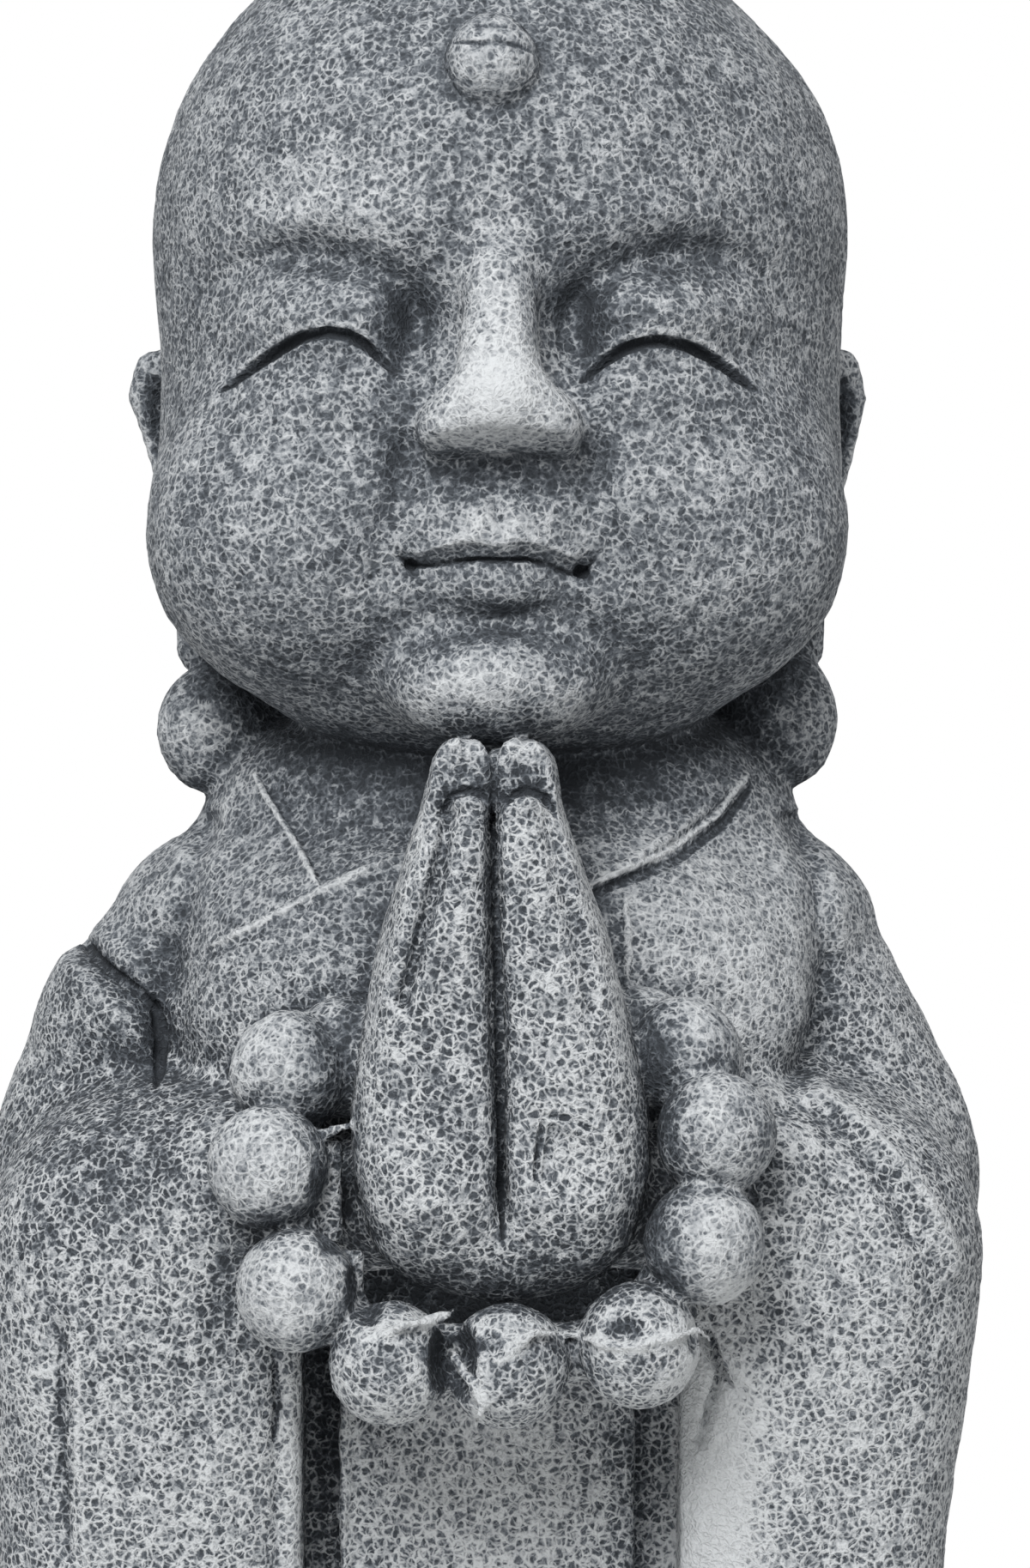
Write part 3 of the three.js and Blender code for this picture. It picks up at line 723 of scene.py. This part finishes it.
def lattice(i, j, k, seed):
    """A fixed pseudo-random number from 0 to 1 for each whole-number place."""
    h = (i * 374761393 + j * 668265263 + k * 2147483647 + seed * 974634777) & 0xFFFFFFFF
    h = ((h ^ (h >> 13)) * 1274126177) & 0xFFFFFFFF
    h = ((h ^ (h >> 16)) * 2246822519) & 0xFFFFFFFF
    return ((h ^ (h >> 15)) & 0xFFFFFF) / float(0xFFFFFF)


def lumpiness(points, size, seed):
    """Smooth noise from -1 to 1 with lumps about size millimetres across."""
    t = points / size
    whole = np.floor(t).astype(np.int64)
    part = t - whole
    part = part * part * part * (part * (part * 6 - 15) + 10)
    total = 0
    for corner in range(8):
        step = [(corner >> k) & 1 for k in range(3)]
        weight = 1
        for k in range(3):
            weight = weight * (part[:, k] if step[k] else 1 - part[:, k])
        total = total + weight * lattice(*(whole[:, k] + step[k] for k in range(3)), seed)
    return total * 2 - 1


def pitting(points, size, seed):
    """0 in the middle of a pit and 1 on the ridges between pits, pits about size millimetres across."""
    t = points / size
    home = np.floor(t).astype(np.int64)
    first = np.full(len(points), 9.0)
    second = np.full(len(points), 9.0)
    for n in range(27):
        cell = home + np.array([n % 3 - 1, n // 3 % 3 - 1, n // 9 - 1])
        off = 0
        for k in range(3):
            place = cell[:, k] + lattice(cell[:, 0], cell[:, 1], cell[:, 2], seed + k)
            off = off + (place - t[:, k]) ** 2
        off = np.sqrt(off)
        second = np.minimum(second, np.maximum(first, off))
        first = np.minimum(first, off)
    return 1 - np.clip((second - first) / 0.45, 0, 1)


def skin_mesh(points, faces):
    mesh = bpy.data.meshes.new("jizo_statue_stone")
    mesh.vertices.add(len(points))
    mesh.vertices.foreach_set("co", (points / 1000).astype(np.float32).ravel())
    mesh.loops.add(len(faces) * 4)
    mesh.loops.foreach_set("vertex_index", faces.astype(np.int32).ravel())
    mesh.polygons.add(len(faces))
    mesh.polygons.foreach_set("loop_start", np.arange(0, len(faces) * 4, 4, dtype=np.int32))
    mesh.update(calc_edges=True)
    mesh.validate()
    return mesh


def places(mesh):
    out = np.empty(len(mesh.vertices) * 3, np.float32)
    mesh.vertices.foreach_get("co", out)
    return out.reshape(-1, 3)


def directions(mesh):
    out = np.empty(len(mesh.vertices) * 3, np.float32)
    mesh.vertices.foreach_get("normal", out)
    return out.reshape(-1, 3)


def thin_out(piece, triangles):
    """Merge points where the skin is nearly flat, down to the number of triangles wanted."""
    now = sum(len(face.vertices) - 2 for face in piece.data.polygons)
    thin = piece.modifiers.new("thin_out", "DECIMATE")
    thin.ratio = min(1.0, triangles / now)
    thin.use_collapse_triangulate = True
    made = bpy.data.meshes.new_from_object(piece.evaluated_get(bpy.context.evaluated_depsgraph_get()))
    piece.modifiers.clear()
    old = piece.data
    piece.data = made
    bpy.data.meshes.remove(old)


def keep(mesh, name, values):
    layer = mesh.attributes.new(name, "FLOAT", "POINT")
    layer.data.foreach_set("value", np.ascontiguousarray(values, np.float32))


# Where more of the pale colour was left, or a painted highlight is laid: x, z, half width, half height and
# how much.
PALE_PLACES = [
    # Nose, chin, upper lip and the worn patch on the brow.
    (0, 462, 18, 15, 1.3), (-1, 484, 10, 20, 0.8), (-1, 388, 20, 12, 0.45), (-1, 431, 22, 10, 0.4),
    (-47, 519, 24, 13, 0.5),
    # Flat hem of the right sleeve, left ear lobe, front panel, left hem, and the sleeves.
    (58, 160, 11, 74, 2.4), (-84, 378, 15, 18, 0.9), (-3, 150, 42, 60, 0.35), (-57, 160, 4, 60, 0.5),
    (96, 190, 30, 60, 0.3), (-96, 190, 36, 60, -0.05),
    # Button on the brow, right cheek, right chest, right hand, and a painted highlight on the chin's lower
    # edge and the fingertips under it, where the chin turns down away from the light.
    (-2, 556, 15, 15, 0.45), (50, 452, 25, 40, 0.12), (62, 310, 28, 34, 0.45), (22, 265, 12, 30, 0.3),
    (-2, 379, 22, 8, 0.9),
]
# Where the pale colour is held back, in the same terms: painted shade in hollows and under parts, and darker
# stone elsewhere. A sixth number keeps the dark to what lies behind that y.
SHADE_AND_DARK_PLACES = [
    # Painted shade under the chin and under the hands, on the heel of the right hand, at the sides of the
    # neck and in the nostrils.
    (0, 360, 84, 13, 0.6, -82), (0, 212, 50, 14, 1.8, -104), (22, 240, 18, 14, 0.35),
    (-72, 392, 18, 12, 0.25), (74, 392, 14, 12, 0.1), (-12, 447, 8, 6, 0.25), (13, 446, 9, 6, 0.4),
    # Painted shade in the left arm's crease; the crown, left forearm, left hand, left shoulder and chest
    # darker.
    (-92, 288, 8, 30, 0.35), (0, 590, 90, 20, 0.25), (-112, 262, 30, 22, 0.45), (-14, 285, 11, 40, 0.12),
    (-112, 300, 24, 34, 0.35), (-50, 330, 34, 30, 0.25),
    # Painted shade at the inner corners of the eyes, under the folds of the brows, over the fingertips and
    # under the jaws, and the whole brow a little darker.
    (22, 486, 8, 14, 0.5), (-22, 485, 8, 12, 0.35), (-40, 501, 20, 4, 0.3), (40, 503, 20, 5, 0.2),
    (-1, 361, 15, 5, 0.6), (-48, 396, 26, 14, 0.22), (46, 396, 26, 14, 0.25), (0, 500, 80, 90, 0.15),
]


def brush_and_painted_light_load(clay, at, facing, fine):
    """How much pale colour the wide dry brush left, most on open, rounded places and least in hollows, with
    painted shade added in hollows and under parts and painted highlights where the light falls short.
    """
    x, y, z = at.T
    # Openness out to 30 mm: partly where the dry brush could not reach, partly painted shade in hollows and
    # under parts.
    open_air = np.mean([np.clip(clay.sample(at + facing * d) / d, 0, 1) for d in (4, 9, 18, 30)], 0)
    thin = np.mean([np.clip(-clay.sample(at - facing * d) / d, 0, 1) for d in (3, 7)], 0)
    load = 1.45 * (np.clip(open_air, 0.3, 1) - 0.92) + 0.7 * (1 - thin) + 0.9 * np.clip(fine, -0.9, 0.9)
    front = ramp(-y, -10, 25)
    # Paler places, among them a painted highlight on the chin's lower edge where it turns down from the
    # light.
    for cx, cz, half_x, half_z, amount in PALE_PLACES:
        load = load + amount * front * hill(x, z, cx, cz, half_x, half_z)
    # Painted shade in hollows and under parts, and darker stone at the other places listed.
    for cx, cz, half_x, half_z, amount, *behind in SHADE_AND_DARK_PLACES:
        far = ramp(y, behind[0] - 3, behind[0] + 3) if behind else 1
        load = load - amount * far * ramp(-y, -20, 30) * hill(x, z, cx, cz, half_x, half_z)
    # The outer beads on the left took the most colour, those on the right the least.
    for bead in BEADS:
        away = np.sqrt(((at - np.array(bead)) ** 2).sum(1))
        amount = 0.5 if bead[0] < -45 else -0.4 if bead[0] > 45 else 0.2
        load = load + amount * (1 - ramp(away, 15.5, 17.5)) * ramp(-facing[:, 1] + facing[:, 2], -0.3, 0.5)
    # Torn places stay dark and the thin films catch the brush.
    for place, half in TORN_PLACES:
        from_tear = np.sqrt((((at - np.array(place)) / np.array(half)) ** 2).sum(1))
        load = load - 0.8 * (1 - ramp(from_tear, 1.0, 1.15))
        load = load + 0.25 * ramp(from_tear, 1.1, 1.2) * (1 - ramp(from_tear, 1.35, 1.6))
    for line, radii in FILM_SPIKES[1:]:
        off, where = off_line(x, z, [(p[0], p[2]) for p in line])
        load = load + 0.8 * (1 - ramp(off, 1.5, 2.5)) * (y < -100)
    # Below the chin the colour is a little darker; on the hands the sides that face left or right get a
    # painted highlight that lifts the shade the lamp leaves on them.
    hands = on_hands(at)
    load = load - 0.1 * (1 - ramp(z, 300, 370)) + hands * (0.15 * ramp(np.abs(facing[:, 0]), 0.3, 0.9) - 0.12)
    # Where the net of ridges is fainter, the colour lies flatter and covers more.
    return load + 0.32 * (1 - ramp(z, 330, 400) - net_boldness(at))


def on_hands(at):
    x, y, z = at.T
    return (1 - ramp(np.abs(x), 44, 50)) * ramp(z, 224, 234) * (1 - ramp(z, 376, 382)) * ramp(-y, 78, 90)


def net_boldness(at):
    """How far the net of ridges stands out.

    It is 1 on the sleeves and low on the hands, 0.7 on the lowest beads, near 0 on the head, and
    below 0 on the other beads.
    """
    z = at[:, 2]
    hands = on_hands(at)
    bold = hands * (1 - ramp(z, 330, 400)) + (1 - hands) * (1 - 1.15 * ramp(z, 275, 335))
    for bead in BEADS + [BROW_BUTTON]:
        away = np.sqrt(((at - np.array(bead)) ** 2).sum(1))
        on_bead = 0.7 if bead[2] < LOWEST_BEADS else -0.5
        bold = bold + (on_bead - bold) * (1 - ramp(away, 15.5, 17.5))
    return bold


def cast_statue():
    clay = model_statue()
    points, faces = wrap_in_skin(clay)
    statue = bpy.data.objects.new("jizo_statue_stone", skin_mesh(points, faces))
    bpy.context.scene.collection.objects.link(statue)
    mesh = statue.data
    refine(mesh)
    at = places(mesh).astype(float) * 1000
    out = clay.slope(at, 2.0)
    rough = 0.4 * lumpiness(at, 14, 3) + 0.25 * lumpiness(at, 6.5, 5)
    rough = rough + 0.4 * (pitting(at, 5.0, 11) - 0.6)
    # The back is plainer, and a carved line is smooth inside.
    fine = fine_rise(at)
    rough = rough * (0.4 + 0.6 * ramp(-at[:, 1], -40, 0)) * (1 - 0.8 * np.clip(-fine, 0, 1))
    at = at + out * (rough * ramp(at[:, 2], 1, 6) + fine)[:, None]
    mesh.vertices.foreach_set("co", (at / 1000).astype(np.float32).ravel())
    mesh.update()
    thin_out(statue, SKIN_TRIANGLES)
    mesh = statue.data
    at, facing = places(mesh) * 1000, directions(mesh)
    keep(mesh, "brush_and_painted_light_load", brush_and_painted_light_load(clay, at, facing, fine_rise(at)))
    keep(mesh, "net_boldness", net_boldness(at))
    for face in mesh.polygons:
        face.use_smooth = True
    # The grown form is set on the solid: same middle in plan, foot on the same plane.
    low, high = at.min(0) / 1000, at.max(0) / 1000
    cad_low, cad_high = (np.array(v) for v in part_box("jizo_statue"))
    shift = (cad_low + cad_high) / 2 - (low + high) / 2
    shift[2] = cad_low[2] - low[2]
    moved = places(mesh) + shift.astype(np.float32)
    mesh.vertices.foreach_set("co", moved.ravel())
    mesh.update()
    return statue, shift


statue, shift = cast_statue()


# ---- finish --------------------------------------------------------------------------------


def colour(hex_code):
    """sRGB hex to the linear colour a shader takes."""
    parts = [int(hex_code[i:i + 2], 16) / 255 for i in (1, 3, 5)]
    return [v / 12.92 if v <= 0.04045 else ((v + 0.055) / 1.055) ** 2.4 for v in parts] + [1.0]


def add(tree, kind, settings=None, links=None):
    """Add a node, set its plain values, and join its inputs to other nodes' outputs."""
    node = tree.nodes.new(kind)
    for name, value in (settings or {}).items():
        if isinstance(name, str) and hasattr(node, name):
            setattr(node, name, value)
        else:
            node.inputs[name].default_value = value
    for name, (source, output) in (links or {}).items():
        tree.links.new(source.outputs[output], node.inputs[name])
    return node


# Sizes of the marks on the stone, as cells or waves to the metre.
LARGE_PITS, FINE_PITS = 330.0, 640.0        # 3.0 and 1.6 mm across
NET, SMALL_NET = 400.0, 820.0               # cells 2.5 and 1.2 mm across
CORAL, WANDER, SKIPS = 440.0, 420.0, 260.0  # 2.3, 2.4 and 3.8 mm long
BRISTLES, DRIFTS = 560.0, 55.0              # 1.8 and 18 mm apart
CHALK = 800.0                               # 1.2 mm: the real grain is finer, and drawn coarser to show


def dry_brushed_cast_stone():
    """Grey cast stone, cast in a rubber mould off a pitted model, stained dark and dry-brushed pale.

    The eye gets dark pits of 1 to 3 mm, a broken pale net of ridges between them, chalky
    grain over all, and more of the pale colour wherever a wide brush could reach, with painted shade in
    hollows and under parts.
    """
    material = bpy.data.materials.new("dry_brushed_cast_stone")
    material.use_nodes = True
    tree = material.node_tree
    tree.nodes.clear()
    space = add(tree, "ShaderNodeTexCoord")
    # Outlines wander by about a millimetre.
    wander = add(tree, "ShaderNodeTexNoise", {"Scale": WANDER, "Detail": 2.0}, {"Vector": (space, "Object")})
    centred = add(tree, "ShaderNodeVectorMath", {"operation": "SUBTRACT", 1: (0.5, 0.5, 0.5)},
                  {0: (wander, "Color")})
    small = add(tree, "ShaderNodeVectorMath", {"operation": "SCALE", "Scale": 0.0019}, {0: (centred, 0)})
    grain = add(tree, "ShaderNodeVectorMath", {"operation": "ADD"}, {0: (space, "Object"), 1: (small, 0)})

    def pits(cells_per_metre, least, most, channel):
        """Distance outside the rim of the nearest pit, for pits of many sizes."""
        cell = add(tree, "ShaderNodeTexVoronoi", {"Scale": cells_per_metre}, {"Vector": (grain, 0)})
        parts = add(tree, "ShaderNodeSeparateColor", {}, {0: (cell, "Color")})
        size = add(tree, "ShaderNodeMapRange", {"To Min": least, "To Max": most}, {"Value": (parts, channel)})
        return add(tree, "ShaderNodeMath", {"operation": "SUBTRACT"}, {0: (cell, "Distance"), 1: (size, 0)})

    def ridges(cells_per_metre, half_width):
        """1 along the thin walls between cells, 0 inside them."""
        cell = add(tree, "ShaderNodeTexVoronoi", {"feature": "DISTANCE_TO_EDGE", "Scale": cells_per_metre},
                   {"Vector": (grain, 0)})
        return add(tree, "ShaderNodeMapRange", {"From Min": 0.3 * half_width, "From Max": half_width,
                                                "To Min": 1.0, "To Max": 0.0},
                   {"Value": (cell, "Distance")})

    large, fine = pits(LARGE_PITS, -0.1, 0.45, 0), pits(FINE_PITS, -0.1, 0.5, 1)
    rim = add(tree, "ShaderNodeMath", {"operation": "MINIMUM"}, {0: (large, 0), 1: (fine, 0)})
    plain = add(tree, "ShaderNodeMapRange", {"From Min": -0.1, "From Max": 0.08}, {"Value": (rim, 0)})
    wall, small_wall = ridges(NET, 0.21), ridges(SMALL_NET, 0.24)
    # Winding ridges, like brain coral, run between the pits.
    winding = add(tree, "ShaderNodeTexNoise", {"Scale": CORAL, "Detail": 0.0}, {"Vector": (grain, 0)})
    off = add(tree, "ShaderNodeMath", {"operation": "SUBTRACT", 1: 0.5}, {0: (winding, "Fac")})
    aside = add(tree, "ShaderNodeMath", {"operation": "ABSOLUTE"}, {0: (off, 0)})
    coral = add(tree, "ShaderNodeMapRange",
                {"From Min": 0.02, "From Max": 0.08, "To Min": 0.65, "To Max": 0.0}, {"Value": (aside, 0)})
    # The brush skips along the walls, so they are broken.
    skips = add(tree, "ShaderNodeTexNoise", {"Scale": SKIPS, "Detail": 3.0}, {"Vector": (space, "Object")})
    kept = add(tree, "ShaderNodeMapRange",
               {"From Min": 0.36, "From Max": 0.6, "To Min": 0.55, "To Max": 1.1}, {"Value": (skips, "Fac")})
    speck = add(tree, "ShaderNodeTexNoise", {"Scale": CHALK, "Detail": 2.0, "Roughness": 0.5},
                {"Vector": (space, "Object")})
    wide_net = add(tree, "ShaderNodeMath", {"operation": "MAXIMUM"}, {0: (wall, 0), 1: (coral, 0)})
    walls = add(tree, "ShaderNodeMath", {"operation": "MULTIPLY_ADD", 1: 0.3},
                {0: (small_wall, 0), 2: (wide_net, 0)})
    broken = add(tree, "ShaderNodeMath", {"operation": "MULTIPLY"}, {0: (walls, 0), 1: (kept, 0)})
    boldness = add(tree, "ShaderNodeAttribute", {"attribute_name": "net_boldness"})
    bold = add(tree, "ShaderNodeMath", {"operation": "MULTIPLY_ADD", 1: 0.6, 2: 1.0}, {0: (boldness, "Fac")})
    net = add(tree, "ShaderNodeMath", {"operation": "MULTIPLY"}, {0: (broken, 0), 1: (bold, 0)})
    lines = add(tree, "ShaderNodeMath", {"operation": "MULTIPLY_ADD", 1: 0.45}, {0: (plain, 0), 2: (net, 0)})
    height = add(tree, "ShaderNodeMath", {"operation": "MULTIPLY_ADD", 1: 1.1},
                 {0: (speck, "Fac"), 2: (lines, 0)})
    # Bristle marks run down the robe, where the net is bold, and across the head, where it is faint.
    down = add(tree, "ShaderNodeVectorMath", {"operation": "MULTIPLY", 1: (1, 1, 0.22)}, {0: (grain, 0)})
    across = add(tree, "ShaderNodeVectorMath", {"operation": "MULTIPLY", 1: (0.35, 1, 1)}, {0: (grain, 0)})
    run = add(tree, "ShaderNodeMix", {"data_type": "VECTOR"},
              {0: (boldness, "Fac"), 4: (across, 0), 5: (down, 0)})
    bristle = add(tree, "ShaderNodeTexNoise", {"Scale": BRISTLES, "Detail": 3.0}, {"Vector": (run, 1)})
    marks = add(tree, "ShaderNodeMath", {"operation": "MULTIPLY_ADD", 1: 1.1},
                {0: (bristle, "Fac"), 2: (height, 0)})
    # Broad drifts of the brush, and the load kept on the skin: the brush's reach into hollows, with painted
    # shade in hollows and under parts.
    cloud = add(tree, "ShaderNodeTexNoise", {"Scale": DRIFTS, "Detail": 5.0, "Roughness": 0.6},
                {"Vector": (space, "Object")})
    reach = add(tree, "ShaderNodeAttribute", {"attribute_name": "brush_and_painted_light_load"})
    drift = add(tree, "ShaderNodeMath", {"operation": "MULTIPLY_ADD", 1: 1.2},
                {0: (cloud, "Fac"), 2: (reach, "Fac")})
    load = add(tree, "ShaderNodeMath", {"operation": "ADD"}, {0: (drift, 0), 1: (marks, 0)})
    mask = add(tree, "ShaderNodeMapRange", {"From Min": 1.66, "From Max": 4.1}, {"Value": (load, 0)})
    tint = add(tree, "ShaderNodeValToRGB", {}, {"Fac": (mask, 0)})
    stops = tree.nodes[tint.name].color_ramp.elements
    stops[0].position, stops[0].color = 0.0, colour("#373B40")
    stops[1].position, stops[1].color = 1.0, colour("#D0D3D5")
    for place, code in ((0.25, "#4E5359"), (0.42, "#6C7177"), (0.58, "#999DA1"), (0.78, "#B9BCBF")):
        stops.new(place).color = colour(code)
    bump = add(tree, "ShaderNodeBump", {"Strength": 0.6, "Distance": 0.0006}, {"Height": (height, 0)})
    stone = add(tree, "ShaderNodeBsdfPrincipled", {"Roughness": 0.88, "Specular IOR Level": 0.3},
                {"Base Color": (tint, 0), "Normal": (bump, 0)})
    add(tree, "ShaderNodeOutputMaterial", {}, {"Surface": (stone, 0)})
    return material


statue.data.materials.clear()
statue.data.materials.append(dry_brushed_cast_stone())
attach(statue, "root")
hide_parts("jizo_statue")

# ---- studio --------------------------------------------------------------------------------
middle = Vector((float(shift[0]), float(shift[1]), 0.0))


def lamp(name, place, target, size, watts):
    light = bpy.data.lights.new(name, "AREA")
    light.shape = "DISK"
    light.size = size
    light.energy = watts
    holder = bpy.data.objects.new(name, light)
    bpy.context.scene.collection.objects.link(holder)
    holder.location = Vector(place)
    holder.rotation_euler = (Vector(target) - Vector(place)).to_track_quat("-Z", "Y").to_euler()


lamp("key", (-0.4, -1.55, 1.3), (0, 0, 0.35), 0.9, 25)
world = bpy.data.worlds.new("studio")
world.use_nodes = True
sky = world.node_tree.nodes["Background"]
sky.inputs["Color"].default_value = (1, 1, 1, 1)
# The backdrop shows pure white, while the light it gives is softer, and weaker from below.
air = world.node_tree
seen = add(air, "ShaderNodeLightPath")
way = add(air, "ShaderNodeTexCoord")
apart = add(air, "ShaderNodeSeparateXYZ", {}, {0: (way, "Generated")})
sky_light = add(air, "ShaderNodeMapRange",
                {"From Min": -0.5, "From Max": 0.9, "To Min": 0.24, "To Max": 0.78}, {"Value": (apart, "Z")})
glow = add(air, "ShaderNodeMapRange", {"To Max": 1.0},
           {"Value": (seen, "Is Camera Ray"), "To Min": (sky_light, 0)})
air.links.new(glow.outputs[0], sky.inputs["Strength"])
bpy.context.scene.world = world
bpy.context.scene.view_settings.view_transform = "Standard"


def paper_floor():
    """Matte white paper that fades into the white of the backdrop away from the figure."""
    mesh = bpy.data.meshes.new("studio_floor")
    mesh.from_pydata([(-4, -4, 0), (4, -4, 0), (4, 4, 0), (-4, 4, 0)], [], [(0, 1, 2, 3)])
    sheet = bpy.data.objects.new("studio_floor", mesh)
    bpy.context.scene.collection.objects.link(sheet)
    paper = bpy.data.materials.new("matte_white_paper")
    paper.use_nodes = True
    tree = paper.node_tree
    tree.nodes.clear()
    space = add(tree, "ShaderNodeTexCoord")
    far = add(tree, "ShaderNodeVectorMath", {"operation": "LENGTH"}, {0: (space, "Object")})
    fade = add(tree, "ShaderNodeMapRange",
               {"From Min": 0.2, "From Max": 0.52, "interpolation_type": "SMOOTHSTEP"},
               {"Value": (far, "Value")})
    look = add(tree, "ShaderNodeLightPath")
    strength = add(tree, "ShaderNodeMapRange", {"To Min": 0.4, "To Max": 1.0},
                   {"Value": (look, "Is Camera Ray")})
    matte = add(tree, "ShaderNodeBsdfPrincipled", {"Base Color": colour("#F6F6F4"), "Roughness": 0.9})
    white = add(tree, "ShaderNodeEmission", {"Color": (1, 1, 1, 1)}, {"Strength": (strength, 0)})
    mixed = add(tree, "ShaderNodeMixShader", {}, {0: (fade, 0), 1: (matte, 0), 2: (white, 0)})
    add(tree, "ShaderNodeOutputMaterial", {}, {"Surface": (mixed, 0)})
    mesh.materials.append(paper)


paper_floor()

CAMERA_AWAY, CAMERA_HEIGHT, CAMERA_ASIDE = 1.3, 0.36, 0.00425
VIEW_HEIGHT = 0.45675    # metres of the figure's own plane that the camera takes in, top to bottom
FILM_HEIGHT = 36.0       # mm
camera = bpy.data.cameras.new("camera")
camera.sensor_fit = "VERTICAL"
camera.sensor_height = FILM_HEIGHT
camera.lens = FILM_HEIGHT * CAMERA_AWAY / VIEW_HEIGHT
holder = bpy.data.objects.new("camera", camera)
bpy.context.scene.collection.objects.link(holder)
holder.location = middle + Vector((CAMERA_ASIDE, -CAMERA_AWAY, CAMERA_HEIGHT))
holder.rotation_euler = (math.pi / 2, 0, 0)
bpy.context.scene.camera = holder
